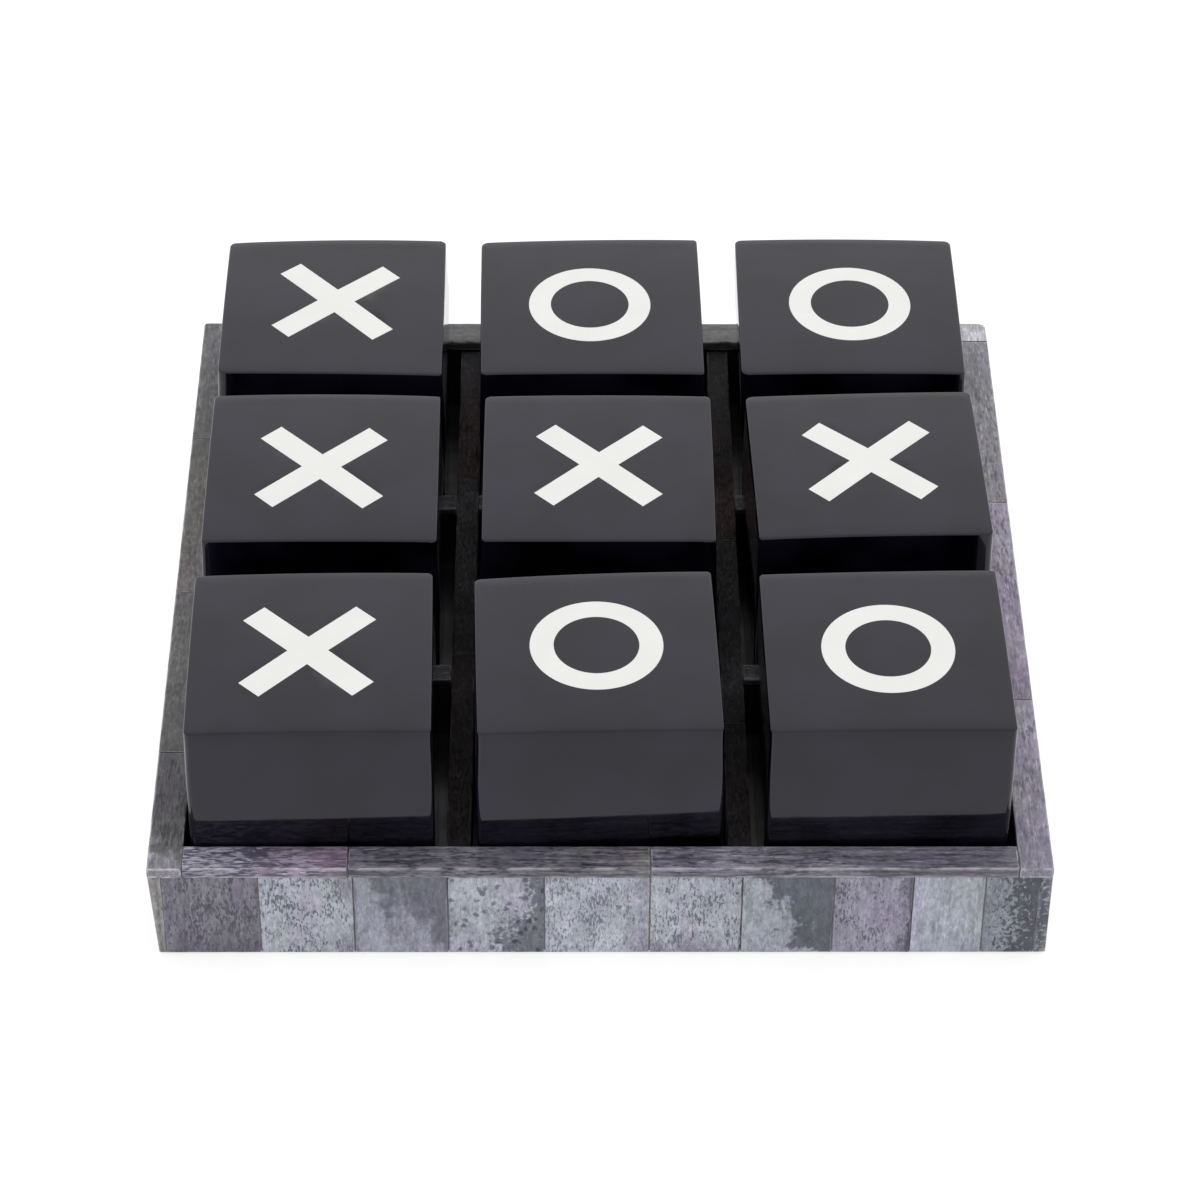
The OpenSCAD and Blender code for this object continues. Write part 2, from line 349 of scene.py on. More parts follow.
def make_row(name, boxes, strips, ways, ease, points, unevenness, seed, finish):
    """One mesh of a row's strips. Each strip is a dict of what the finish reads."""
    start = bpy.data.meshes.new(name + "_points")
    start.from_pydata([middle for middle, _ in boxes], [], [])
    stored = {"half": [tuple(half) for _, half in boxes]}
    for key in strips[0]:
        stored[key] = [strip[key][:3] for strip in strips]
    for key, values in stored.items():
        layer = start.attributes.new(key, "FLOAT_VECTOR", "POINT")
        layer.data.foreach_set("vector", np.array(values, float).ravel())
    piece = new_object(name, start)
    modifier = piece.modifiers.new("strips", "NODES")
    modifier.node_group = strip_row
    across, along, outward = ways
    values = {"Across": across, "Along": along, "Outward": outward, "Ease": ease,
              "Points X": points[0], "Points Y": points[1], "Points Z": points[2],
              "Unevenness": unevenness, "Seed": seed, "Finish": finish}
    for socket in strip_row.interface.items_tree:
        if socket.in_out == "INPUT" and socket.name in values:
            modifier[socket.identifier] = values[socket.name]
    bpy.context.view_layer.update()
    evaluated = piece.evaluated_get(bpy.context.evaluated_depsgraph_get())
    mesh = bpy.data.meshes.new_from_object(evaluated)
    piece.modifiers.clear()
    piece.data = mesh
    mesh.name = name
    return piece


def bone_finish(name, pores, fleck, roughness, polish, outer_painted_shade=0):
    """Dyed bone. Tones, patches and marks come from each strip's own attributes. The last
    argument darkens the strip's outer side with painted shade.
    """
    material, graph, shader = new_finish(name)

    def read(key):
        return graph.put("ShaderNodeAttribute", out="Vector", attribute_name=key)

    def parts(vector):
        return graph.put("ShaderNodeSeparateXYZ", {0: vector}).node.outputs

    def shaded(colour, amount, tint):
        return graph.mix(amount, colour, graph.mix(1, colour, tint + (1,), "MULTIPLY"))

    grain, place = read("grain"), read("place")
    dashed, spotted, streaked = parts(read("marks"))
    way_x, way_y, level = parts(read("patch"))
    ragged, gritty, softness = parts(read("border"))
    worn_and_glinting, stained_side, stained = parts(read("edges"))
    place_x, place_y, _ = parts(place)
    across, along = 1 / pores[0], 1 / pores[1]

    def moved(x, y):
        return graph.vector("ADD", grain, (x, y, 0))

    # The patch comes in from one side, with a ragged or gritty border
    torn = graph.noise(grain, (0.17, 0.13, 0.17), 4, 0.4)
    grit = graph.noise(grain, (1.1, 0.8, 1.1), 3)
    reach = graph.calc("ADD", graph.calc("MULTIPLY", place_x, way_x),
                       graph.calc("MULTIPLY", place_y, way_y))
    reach = graph.calc("SUBTRACT", reach, level)
    reach = graph.calc("MULTIPLY_ADD", graph.calc("SUBTRACT", torn, 0.5), ragged, reach)
    reach = graph.calc("MULTIPLY_ADD", graph.calc("SUBTRACT", grit, 0.5), gritty, reach)
    patch_mask = graph.fade(graph.calc("DIVIDE", reach, softness), -0.5, 0.5)
    colour = graph.mix(patch_mask, read("tone"), read("patch_tone"))

    # Broad clouding, fine mottling, and streaks that follow the grain
    broad = graph.noise(grain, (0.16, 0.08, 0.16), 3)
    mottle = graph.noise(moved(5, 19), (0.9, 0.45, 0.9), 5, 0.6)
    streaks = graph.noise(grain, (1.3, 0.07, 1.3), 4, 0.3)
    depth = graph.calc("ADD", graph.fade(broad, 0.3, 0.7, 0.88, 1.1),
                       graph.fade(mottle, 0.3, 0.7, -0.18, 0.18))
    depth = graph.calc("MULTIPLY_ADD", graph.calc("SUBTRACT", streaks, 0.5), streaked, depth)
    shade = graph.put("ShaderNodeCombineXYZ", {0: depth, 1: depth, 2: depth})
    colour = graph.mix(1, colour, shade, "MULTIPLY")
    violet = graph.noise(moved(71, 13), (0.11, 0.05, 0.11), 2)
    colour = shaded(colour, graph.fade(violet, 0.5, 0.64, 0, 0.6), (1.02, 0.92, 1.05))
    reddish = graph.noise(moved(23, 57), (0.2, 0.2, 0.2), 2)
    colour = shaded(colour, graph.fade(reddish, 0.62, 0.72, 0, 0.5), (1.06, 0.9, 0.97))

    # Pores, sawn lengthwise into dark dashes, crowd together in places; spots are round
    dashes = graph.noise(grain, (across, along, across), 3, 0.35)
    crowd = graph.noise(moved(11, 47), (0.2, 0.15, 0.2), 2)
    dashes = graph.calc("MULTIPLY_ADD", graph.calc("SUBTRACT", crowd, 0.5), 0.5, dashes)
    denser = graph.calc("MAXIMUM", graph.calc("SUBTRACT", dashed, 0.9), 0)
    dashes = graph.calc("MULTIPLY_ADD", denser, 0.5, dashes)
    dashed = graph.calc("MULTIPLY", dashed, graph.calc("MULTIPLY_ADD", patch_mask, -0.6, 1))
    dash_mask = graph.calc("MULTIPLY", graph.fade(dashes, 0.52, 0.64), dashed)
    cells = graph.put("ShaderNodeTexVoronoi",
                      {"Vector": graph.vector("MULTIPLY", grain, (0.42, 0.36, 0.42)), "Scale": 1})
    spots = graph.calc("MULTIPLY_ADD", graph.noise(grain, (0.9, 0.7, 0.9), 3), 0.8, cells)
    spot_mask = graph.calc("MULTIPLY", graph.fade(spots, 0.56, 0.78, 1, 0), spotted)
    dark = graph.calc("MAXIMUM", dash_mask, spot_mask)
    colour = shaded(colour, dark, (0.26, 0.27, 0.32))
    pale = graph.noise(moved(3, 29), (2.4, 0.9 * along, 2.4), 3, 0.8)
    colour = shaded(colour, graph.fade(pale, 0.5, 0.66), (fleck, fleck + 0.01, fleck + 0.01))

    # A wavy dark crack down one side, and pale edges: partly bare bone where sanding caught them,
    # partly a painted highlight
    crack = graph.noise(moved(37, 3), (0.35, 0.16, 0.35), 3)
    crack = graph.calc("MULTIPLY_ADD", crack, 0.5, graph.calc("MULTIPLY", place_x, stained_side))
    crack = graph.calc("MULTIPLY", graph.fade(crack, 1.03, 1.22), stained)
    colour = shaded(colour, graph.calc("MULTIPLY", crack, graph.fade(streaks, 0.3, 0.55)),
                    (0.42, 0.38, 0.42))
    edge = graph.put("ShaderNodeAttribute", out="Fac", attribute_name="edge")
    rubbed = graph.fade(graph.noise(grain, (0.5, 0.2, 0.5), 3), 0.36, 0.6)
    inner_side = graph.fade(place_x, 0.97, 1, 0.6, 1)
    wear_and_glint = graph.calc("MULTIPLY", graph.calc("MULTIPLY", edge, rubbed),
                      graph.calc("MULTIPLY", inner_side, worn_and_glinting))
    # Painted highlight: the pale edge colour stands partly for a glint on the eased edges and partly
    # for worn bare bone
    colour = graph.mix(wear_and_glint, colour, ink(214, 213, 214))
    # Painted shade: the outer side face is darkened, standing in for less light falling there
    colour = shaded(colour, graph.fade(place_x, -0.99, -0.93, outer_painted_shade, 0), (0.5, 0.5, 0.5))
    graph.tree.links.new(colour, shader["Base Color"])

    gloss = graph.calc("MULTIPLY_ADD", streaks, 0.25, graph.calc("MULTIPLY", dark, 0.2))
    graph.tree.links.new(graph.calc("ADD", gloss, roughness - 0.12), shader["Roughness"])
    height = graph.calc("MULTIPLY_ADD", graph.calc("MAXIMUM", dark, crack), -0.8,
                        graph.calc("MULTIPLY", graph.calc("ADD", streaks, mottle), 0.5))
    graph.tree.links.new(graph.put("ShaderNodeBump", {"Strength": 0.5, "Distance": 0.00008,
                                                      "Height": height}), shader["Normal"])
    shader["Specular IOR Level"].default_value = polish
    return material


def bone(tone, patch_tone, marks, patch, border, edges):
    """One strip: its two tones, its dashes, spots and streaks, where the patch lies, the
    patch's raggedness, grit and softness, its edges' wear with painted highlight, and its cracked
    side."""
    return {"tone": ink(*tone), "patch_tone": ink(*patch_tone), "marks": marks, "patch": patch,
            "border": border, "edges": edges}


# The kinds of bone: pale tone, patch tone, dashes, spots and streaks, patch border
face_kinds = {
    "plum": ((107, 105, 115), (91, 87, 99), (0.75, 0.1, 1.2), (2, 1.5, 1.2)),
    "freckled": ((151, 155, 163), (123, 121, 134), (0.9, 0.1, 0.4), (2, 1, 0.8)),
    "clouded": ((134, 138, 147), (93, 96, 105), (0.25, 0, 0.6), (3, 0.8, 0.7)),
    "spotted": ((151, 154, 163), (98, 101, 110), (0.4, 0.85, 0.3), (2, 2, 0.35)),
    "pale": ((156, 160, 169), (134, 132, 149), (0.75, 0.1, 0.5), (2, 1, 1)),
    "storm": ((141, 146, 154), (80, 84, 92), (0.4, 0.1, 0.3), (1.6, 0.8, 0.3)),
    "lilac": ((133, 130, 145), (99, 95, 110), (0.85, 0, 0.8), (2, 1.5, 0.6)),
    "mist": ((147, 151, 162), (140, 144, 150), (0.2, 0, 1.0), (2, 0.5, 0.9)),
    "speckled": ((121, 125, 134), (70, 73, 81), (0.4, 0.1, 0.3), (1.6, 5, 0.3)),
}


def face_strip(kind, patch, edges=(0.3, 1, 0)):
    """A face strip of one kind, with the place of its patch and the state of its edges."""
    return bone(*face_kinds[kind][:3], patch, face_kinds[kind][3], edges)


def random_face_strips(count, seed):
    """Face strips of shuffled kinds, each with its patch coming in from any side."""
    rng = random.Random(seed)
    kinds = rng.sample(sorted(face_kinds), len(face_kinds)) + [rng.choice(sorted(face_kinds))]
    strips = []
    for kind in kinds[:count]:
        angle = rng.uniform(0, math.tau)
        strips.append(face_strip(kind, (math.cos(angle), math.sin(angle), rng.uniform(0, 0.9)),
                                 (0.3, rng.choice((-1, 1)), rng.choice((0, 0, 0.6, 1)))))
    return strips


front_strips = [
    face_strip("plum", (0.3, -1, 0.7)),
    face_strip("freckled", (1, 0, 0.8)),
    face_strip("clouded", (0.8, 0.6, 0.1), (0.3, -1, 0.8)),
    face_strip("spotted", (1, -0.4, 0.45), (0.3, -1, 0.5)),
    face_strip("pale", (1, 0.1, 0.8)),
    face_strip("freckled", (-0.2, -1, 0.8), (0.3, 1, 1)),
    face_strip("storm", (0.9, 0.5, 0)),
    face_strip("lilac", (1, 0.1, 0.8), (0.3, 1, 1)),
    face_strip("mist", (1, 0.1, 0.3)),
    face_strip("speckled", (1, 0.1, 0), (0.3, -1, 0.4)),
]

# At left and right, the first strip's end shows at the tray's front corner
left_strips = [bone((116, 117, 112), (98, 98, 96), (0.6, 0.1, 0.8), (0, -1, 0.4), (2, 1, 1),
                    (0.3, 1, 0))] + random_face_strips(9, 32)
right_strips = [face_strip("speckled", (0.2, 0, -0.6))] + random_face_strips(9, 43)
face_bone = bone_finish("dyed_face_bone", (0.42, 1.4), 1.24, 0.42, 0.32)
face_ease, face_points, face_unevenness, face_corner = 0.00005, 24, 0.00012, 0.0006
rightward, backward, upward = Vector((1, 0, 0)), Vector((0, 1, 0)), Vector((0, 0, 1))
face_rows = {
    "front": (0, (rightward, upward, -backward), front_strips, 3),
    "back": (0, (-rightward, upward, backward), random_face_strips(10, 21), 8),
    "left": (1, (-backward, upward, -rightward), left_strips, 13),
    "right": (1, (backward, upward, rightward), right_strips, 18),
}


def laid(run, lengthwise, crosswise, upright):
    """One value per axis, for a row that runs along axis run."""
    return (lengthwise, crosswise, upright) if run == 0 else (crosswise, lengthwise, upright)


def round_corners(piece, radii, low, high):
    """Rounds a piece in plan where it turns the tray's corners: (x side, y side): radius."""
    for vertex in piece.data.vertices:
        side = (1 if vertex.co.x > 0 else -1, 1 if vertex.co.y > 0 else -1)
        radius = radii.get(side, radii["other"])
        centre = Vector(((high if side[0] > 0 else low).x - side[0] * radius,
                         (high if side[1] > 0 else low).y - side[1] * radius))
        out = vertex.co.xy - centre
        if out.x * side[0] > 0 and out.y * side[1] > 0 and out.length > radius:
            vertex.co.xy = centre + out * (radius / out.length)


# Sanding left the tray's two end faces out of true: how far each stands out at foot and top
side_lean = {"left": (-0.0005, 0.00085), "right": (0.00065, 0.0007)}


def lean_out(piece, foot, top):
    """Moves a side row's outer face out by foot at the table and by top under the rim."""
    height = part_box("left_face_strips")[1].z
    outer = face_high.x - 0.001
    for vertex in piece.data.vertices:
        if abs(vertex.co.x) > outer:
            out = foot + (top - foot) * vertex.co.z / height
            vertex.co.x += out if vertex.co.x > 0 else -out


face_low = Vector((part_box("left_face_strips")[0].x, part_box("front_face_strips")[0].y))
face_high = Vector((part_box("right_face_strips")[1].x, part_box("back_face_strips")[1].y))
for side, (run, ways, strips, seed) in face_rows.items():
    node = side + "_face_strips"
    row = make_row(side + "_face_bone", strip_boxes(node, run), strips, ways, (face_ease,) * 3,
                   laid(run, face_points, 3, face_points), face_unevenness, seed, face_bone)
    round_corners(row, {"other": face_corner}, face_low, face_high)
    if run == 1:
        lean_out(row, *side_lean[side])
    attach(row, "tray")
    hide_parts(node)


# ---- Rim strips ----
# Longer, thicker slips of darker dyed bone laid flat along the rails, grain lengthwise.
# They stand a hair proud of the faces. Their edges are pale, partly rubbed down to bare
# bone and partly a painted highlight, and their outer faces carry painted shade.

# The last argument sets the pale edges: wear and a painted highlight together
def rim_strip(tone, patch_tone, marks, patch, wear_and_glint=0.7):
    """A strip sawn lengthwise: its patch has a long ragged border, and no side is cracked."""
    return bone(tone, patch_tone, marks, patch, (2.6, 1, 1.2), (wear_and_glint, 1, 0))


# The last number is the painted shade darkening the rim's outer side faces
rim_bone = bone_finish("dyed_rim_bone", (0.5, 2.6), 1.5, 0.4, 0.3, 0.45)
rim_rows = {
    "front": (0, (backward, rightward, upward), [
        rim_strip((147, 144, 158), (125, 111, 127), (1.1, 0.15, 1.4), (0, 1, 0.3), 1),
        rim_strip((92, 91, 102), (107, 106, 107), (0.9, 0, 3.2), (0, 1, 0.6), 0.9),
        rim_strip((116, 114, 126), (96, 94, 105), (0.85, 0.15, 2.4), (0, 1, 0.2), 0.9),
    ], 5),
    "back": (0, (-backward, rightward, upward), [
        rim_strip((87, 87, 88), (78, 78, 78), (0.4, 0, 0.6), (0, 1, 0.3)),
        rim_strip((85, 85, 85), (77, 76, 75), (0.4, 0.1, 0.6), (0, -1, 0.3)),
        rim_strip((84, 84, 85), (73, 73, 75), (0.4, 0, 0.6), (0, 1, 0.5)),
    ], 6),
    "left": (1, (rightward, backward, upward), [
        rim_strip((80, 79, 82), (124, 121, 130), (0.6, 0, 1.2), (0, -1, 0.75), 1.2),
        rim_strip((92, 91, 91), (79, 78, 78), (0.4, 0.1, 0.8), (0, -1, 0.3)),
        rim_strip((99, 96, 94), (81, 80, 79), (0.4, 0.2, 0.8), (0, 1, 0.2)),
        rim_strip((90, 90, 92), (80, 81, 80), (0.4, 0.3, 0.8), (0, -1, 0.4)),
    ], 7),
    "right": (1, (-rightward, backward, upward), [
        rim_strip((132, 128, 141), (113, 109, 123), (0.7, 0, 1.0), (0, -1, 0.3)),
        rim_strip((136, 132, 144), (119, 111, 125), (0.7, 0.1, 1.0), (0, -1, 0.3)),
        rim_strip((122, 121, 126), (108, 108, 112), (0.7, 0.2, 1.0), (0, 1, 0.3)),
        rim_strip((161, 160, 165), (141, 140, 144), (0.4, 0, 0.4), (0, 1, 0.3)),
    ], 9),
}
rim_low = Vector((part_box("left_rim_strips")[0].x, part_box("front_rim_strips")[0].y))
rim_high = Vector((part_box("right_rim_strips")[1].x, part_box("back_rim_strips")[1].y))
rim_points, rim_ease, rim_unevenness = (70, 9, 4), (0.00005, 0.00035, 0.0003), 0.00012
rim_corners = {(1, 1): 0.0026, (-1, 1): 0.0014, "other": 0.0005}
rim_out = {"left": 0.00045, "right": 0.0003, "front": 0, "back": 0.0005}
rim_edge = 0.0008


def stand_out(row):
    """Moves the rim's outer edges out past the faces, by a little more on some sides."""
    for vertex in row.data.vertices:
        if vertex.co.x < rim_low.x + rim_edge:
            vertex.co.x -= rim_out["left"]
        if vertex.co.x > rim_high.x - rim_edge:
            vertex.co.x += rim_out["right"]
        if vertex.co.y < rim_low.y + rim_edge:
            vertex.co.y -= rim_out["front"]
        if vertex.co.y > rim_high.y - rim_edge:
            vertex.co.y += rim_out["back"]


for side, (run, ways, strips, seed) in rim_rows.items():
    node = side + "_rim_strips"
    row = make_row(side + "_rim_bone", strip_boxes(node, run), strips, ways,
                   laid(run, *rim_ease), laid(run, *rim_points), rim_unevenness, seed, rim_bone)
    stand_out(row)
    round_corners(row, rim_corners, rim_low - Vector((rim_out["left"], rim_out["front"])),
                  rim_high + Vector((rim_out["right"], rim_out["back"])))
    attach(row, "tray")
    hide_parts(node)


# ---- Divider caps ----
# Thin slips of the darkest bone, glued along the tops of the dividers and cross bars: three
# to each long divider, one to each short bar. They are left less polished than the rim.

cap_bone = bone_finish("dyed_cap_bone", (0.5, 1.6), 2.2, 0.55, 0.1)
cap_tones = [
    rim_strip((32, 28, 30), (21, 18, 19), (0.7, 0.2, 1.2), (0, 1, 0.2), 0.1),
    rim_strip((40, 40, 42), (26, 26, 28), (0.6, 0.5, 1.2), (0, -1, 0.2), 0.1),
    rim_strip((44, 34, 34), (32, 31, 33), (0.7, 0.3, 1.2), (0, 1, 0.1), 0.15),
]
cross_cap_tones = [
    rim_strip((61, 61, 63), (48, 48, 50), (0.6, 0.2, 0.8), (0, 1, 0.3), 0.2),
    rim_strip((55, 54, 56), (44, 43, 44), (0.6, 0.2, 0.8), (0, 1, 0.3), 0.2),
    rim_strip((59, 58, 60), (46, 46, 48), (0.6, 0.2, 0.8), (0, 1, 0.3), 0.2),
]
cap_points, cap_ease, cap_unevenness = (50, 7, 4), (0.00005, 0.0003, 0.00025), 0.0001
for node, run, seed in (("left_divider_cap", 1, 31), ("right_divider_cap", 1, 33),
                        ("front_cross_caps", 0, 35), ("back_cross_caps", 0, 37)):
    row = make_row(node.replace("cap", "bone"), strip_boxes(node, run),
                   cap_tones if run else cross_cap_tones,
                   laid(run, backward, rightward, upward), laid(run, *cap_ease),
                   laid(run, *cap_points), cap_unevenness, seed, cap_bone)
    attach(row, "tray")
    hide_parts(node)


# ---- Joint filler ----
# A dark glue-and-dust paste, pressed into the joints between the strips and wiped off,
# so that it lies a little below the bone.

filler_finish, graph, shader = new_finish("joint_filler")
filler_tone = graph.put("ShaderNodeAttribute", out="Vector", attribute_name="tone")
place = graph.millimetres()
crumbs, dusty = graph.noise(place, (2.3, 2.3, 2.3), 3), graph.noise(place, (0.16, 0.16, 0.16), 2)
graph.tree.links.new(
    graph.mix(graph.fade(graph.calc("ADD", crumbs, dusty), 0.85, 1.15), filler_tone,
              ink(98, 97, 104)),
    shader["Base Color"])
graph.tree.links.new(graph.put("ShaderNodeBump", {"Strength": 0.6, "Distance": 0.00006,
                                                  "Height": crumbs}), shader["Normal"])
shader["Roughness"].default_value = 0.75
brown, black, grey = ink(126, 104, 88), ink(52, 50, 55), ink(104, 103, 110)
filler_recess, filler_lap, filler_ease, filler_unevenness = 0.00003, 0.00001, 0.00004, 0.00003
few_points, many_points = 3, 12
filler_rng = random.Random(12)


def fill_joints(name, node, run, outward, tones):
    """Bars of filler between neighbouring strips, sunk below their outer surface."""
    boxes = strip_boxes(node, run)
    joint = boxes[1][0][run] - boxes[1][1][run] - boxes[0][0][run] - boxes[0][1][run]
    ends = [(middle[run] - half[run], middle[run] + half[run]) for middle, half in boxes]
    gaps = [(a[1], b[0]) for a, b in zip(ends, ends[1:])]
    if run == 0:
        gaps = [(ends[0][0] - joint, ends[0][0])] + gaps + [(ends[-1][1], ends[-1][1] + joint)]
    middle, half = boxes[0]
    bars = []
    for start, end in gaps:
        centre, size = middle.copy(), half.copy()
        centre[run], size[run] = (start + end) / 2, (end - start) / 2 + filler_lap
        for axis in range(3):
            if axis != run:
                size[axis] -= filler_recess
        bars.append((centre - outward * filler_lap, size))
    strips = [{"tone": tone} for tone in tones[:len(bars)]]
    points = [few_points] * 3
    points[2 if abs(outward.z) < 0.5 else 1 - run] = many_points
    row = make_row(name, bars, strips, (rightward, backward, upward), (filler_ease,) * 3,
                   points, filler_unevenness, 2, filler_finish)
    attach(row, "tray")


front_joint_tones = [grey, brown, black, black, grey, brown, black, grey, black, grey, grey]
for side, (run, ways, strips, seed) in face_rows.items():
    tones = [filler_rng.choice((brown, black, grey)) for _ in range(11)]
    fill_joints(side + "_face_filler", side + "_face_strips", run, ways[2],
                front_joint_tones if side == "front" else tones)
for side, (run, ways, strips, seed) in rim_rows.items():
    tones = [filler_rng.choice((black, grey)) for _ in range(4)]
    fill_joints(side + "_rim_filler", side + "_rim_strips", run, ways[2], tones)


# ---- Blocks ----
# Solid cubes cast in black resin, sanded by hand until the corners are round and the
# tops faintly crowned, then polished. Each has a symbol's pocket cut in its top.

resin, graph, shader = new_finish("black_resin")
place = graph.millimetres()
depth_cast = graph.noise(place, (0.05, 0.05, 0.05), 2)
graph.tree.links.new(graph.mix(graph.fade(depth_cast, 0.35, 0.65), (0.0005, 0.0004, 0.0012, 1),
                               (0.0042, 0.0034, 0.0078, 1)), shader["Base Color"])
smears = graph.noise(place, (0.07, 0.03, 0.07), 3, 0.8)
haze = graph.noise(place, (0.6, 0.6, 0.6), 3)
gloss = graph.calc("ADD", graph.fade(smears, 0.35, 0.7, 0.05, 0.1),
                   graph.fade(haze, 0.55, 0.8, 0, 0.05))
graph.tree.links.new(gloss, shader["Roughness"])
polish_waves = graph.noise(place, (0.09, 0.09, 0.09), 2)
scratches = graph.noise(place, (0.25, 9, 9), 2, 0.2)
shader["IOR"].default_value = 1.5
shader["Specular IOR Level"].default_value = 0.44
shader["Specular Tint"].default_value = (0.91, 0.88, 1, 1)
relief = graph.calc("MULTIPLY_ADD", graph.fade(scratches, 0.66, 0.8), -0.05, polish_waves)
graph.tree.links.new(graph.put("ShaderNodeBump", {"Strength": 0.12, "Distance": 0.0002,
                                                  "Height": relief}), shader["Normal"])

block_rng = random.Random(27)


def block_turn(node):
    """How far the block lies turned in its cell, from the facing of its four sides."""
    turns = []
    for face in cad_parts[node].data.polygons:
        if abs(face.normal.z) < 0.01 and face.area > 5e-4:
            angle = math.atan2(face.normal.y, face.normal.x)
            turns.append((angle + math.pi / 4) % (math.pi / 2) - math.pi / 4)
    return sum(turns) / len(turns)


def symbol_loops(node):
    """The outlines of a symbol's top, in millimetres: the outer one first, anticlockwise."""
    work = bmesh.new()
    work.from_mesh(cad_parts[node].data)
    bmesh.ops.remove_doubles(work, verts=work.verts, dist=1e-6)
    top = max(v.co.z for v in work.verts)
    following = {}
    for edge in work.edges:
        upward = [f for f in edge.link_faces if f.normal.z > 0.9]
        if len(upward) == 1 and all(abs(v.co.z - top) < 1e-6 for v in edge.verts):
            a, b = edge.verts
            following.setdefault(a, []).append(b)
            following.setdefault(b, []).append(a)
    loops = []
    while following:
        first = next(iter(following))
        loop, here = [], first
        while here in following:
            loop.append(here)
            ways = [v for v in following.pop(here) if v in following]
            if not ways:
                break
            here = ways[0]
        loops.append(np.array([v.co.xy for v in loop]) * 1000)
    work.free()

    def area(loop):
        x, y = loop.T
        return 0.5 * np.sum(x * np.roll(y, -1) - np.roll(x, -1) * y)

    loops = [loop if area(loop) > 0 else loop[::-1] for loop in loops]
    return sorted(loops, key=area, reverse=True)


def offset(loop, distance):
    """Moves an anticlockwise outline outwards, with mitred corners."""
    along = np.roll(loop, -1, 0) - loop
    along /= np.linalg.norm(along, axis=1)[:, None]
    normal = np.stack([along[:, 1], -along[:, 0]], 1)
    before = np.roll(normal, 1, 0)
    mitre = (normal + before) / (1 + np.sum(normal * before, 1))[:, None]
    return loop + distance * mitre


def inside(point, loops):
    """Even-odd test of a point against outlines."""
    hit = False
    for loop in loops:
        for (x0, y0), (x1, y1) in zip(loop, np.roll(loop, -1, 0)):
            if (y0 > point[1]) != (y1 > point[1]):
                hit ^= point[0] < x0 + (x1 - x0) * (point[1] - y0) / (y1 - y0)
    return hit


def fill(loops, extra, keep):
    """Triangles between outlines, through extra points, where keep(centre) says so."""
    points, edges = [], []
    for loop in loops:
        first = len(points)
        points += [Vector(p) for p in loop]
        edges += [(first + i, first + (i + 1) % len(loop)) for i in range(len(loop))]
    points += [Vector(p) for p in extra]
    flat, _, faces, _, _, _ = delaunay_2d_cdt(points, edges, [], 0, 1e-5)
    kept = [f for f in faces if keep(sum((flat[v] for v in f), Vector((0, 0))) / len(f))]
    return [tuple(p) for p in flat], kept


# In millimetres: half a block's side, how much its top edge and foot are eased, the depth of
# the symbol's pocket, and the points along its outline and up its walls
block_half, block_edge, block_foot, cut_depth = 27, 0.4, 0.5, 2
corner_steps, side_steps, wall_levels = 8, 16, 14


def block_outline(radii, bow):
    """A cube's plan, with a radius at each corner and sides that bow out a little."""
    def way(angle):
        return np.array([math.cos(angle), math.sin(angle)])

    def corner(angle):
        return np.array([math.cos(angle) - math.sin(angle), math.sin(angle) + math.cos(angle)])

    points = []
    for quarter, radius in enumerate(radii):
        turn = quarter * math.pi / 2
        for step in range(corner_steps + 1):
            angle = turn + step * math.pi / 2 / corner_steps
            points.append(corner(turn) * (block_half - radius) + radius * way(angle))
        next_radius, ahead = radii[(quarter + 1) % 4], turn + math.pi / 2
        start = points[-1]
        end = corner(ahead) * (block_half - next_radius) + next_radius * way(ahead)
        points += [start + (end - start) * k / side_steps for k in range(1, side_steps)]
    points = np.array(points)
    return points * (1 - bow / block_half * (points[:, ::-1] / block_half) ** 2)


# Sanding by hand leaves the blocks out of true. For each, how far its back edge, then its
# front edge, strays backwards at the left, the middle and the right, above the dividers
stray = {
    "front_left": ((0, 0, 0), (0, 0, 0)), "front_middle": ((-1.5, -0.6, 0), (0, 0, 0)),
    "front_right": ((-0.3, 0, 0.6), (0, 0, 0)), "middle_left": ((0.8, 0.9, 0.5), (0, 0, 0)),
    "centre": ((0.3, 0.3, 0.3), (0.3, 0, 0.3)), "middle_right": ((0.4, 0.5, 0.9), (0.7, 0.8, 0.8)),
    "back_left": ((0.3, 1.2, 1.3), (0.7, 0.3, -0.1)), "back_middle": ((0.5, 1, 1.5), (0.4, 0.3, 0.3)),
    "back_right": ((1.2, 1.3, 1.2), (0, 0.2, 0.5)),
}
divider_top = 24

# How far each one's sides swell outwards below its top; a front one swells down to its foot
swell = {"front_left": 0.25, "front_middle": 0.4, "front_right": 0.15, "middle_left": 0.35,
         "centre": 0.4, "middle_right": 0.2, "back_left": 0.6, "back_middle": 0.4,
         "back_right": 0.35}

# How far a block's left side was sanded in, from its top down to the dividers
taken_in = {"back_right": 1.7}


def sanded(name, top, x, y, z):
    """A point of the true cube as sanding left it: astray, and swollen above the dividers."""
    left, middle, right = stray[name][0 if y > 0 else 1]
    u, v = x / block_half, y / block_half
    astray = middle + (right - left) / 2 * u + ((left + right) / 2 - middle) * u * u
    rising = min(max((z - divider_top) / (top - divider_top), 0), 1)
    eased = rising * rising * (3 - 2 * rising)
    swollen = math.sin(math.pi * rising) ** 2 * swell[name]
    sideways = swollen
    if name.startswith("front") and rising < 0.5:
        sideways = swell[name]
    if u < 0:
        sideways -= taken_in.get(name, 0) * (1 - eased)
    return x + sideways * u, y + swollen * v + astray * abs(v) * eased, z


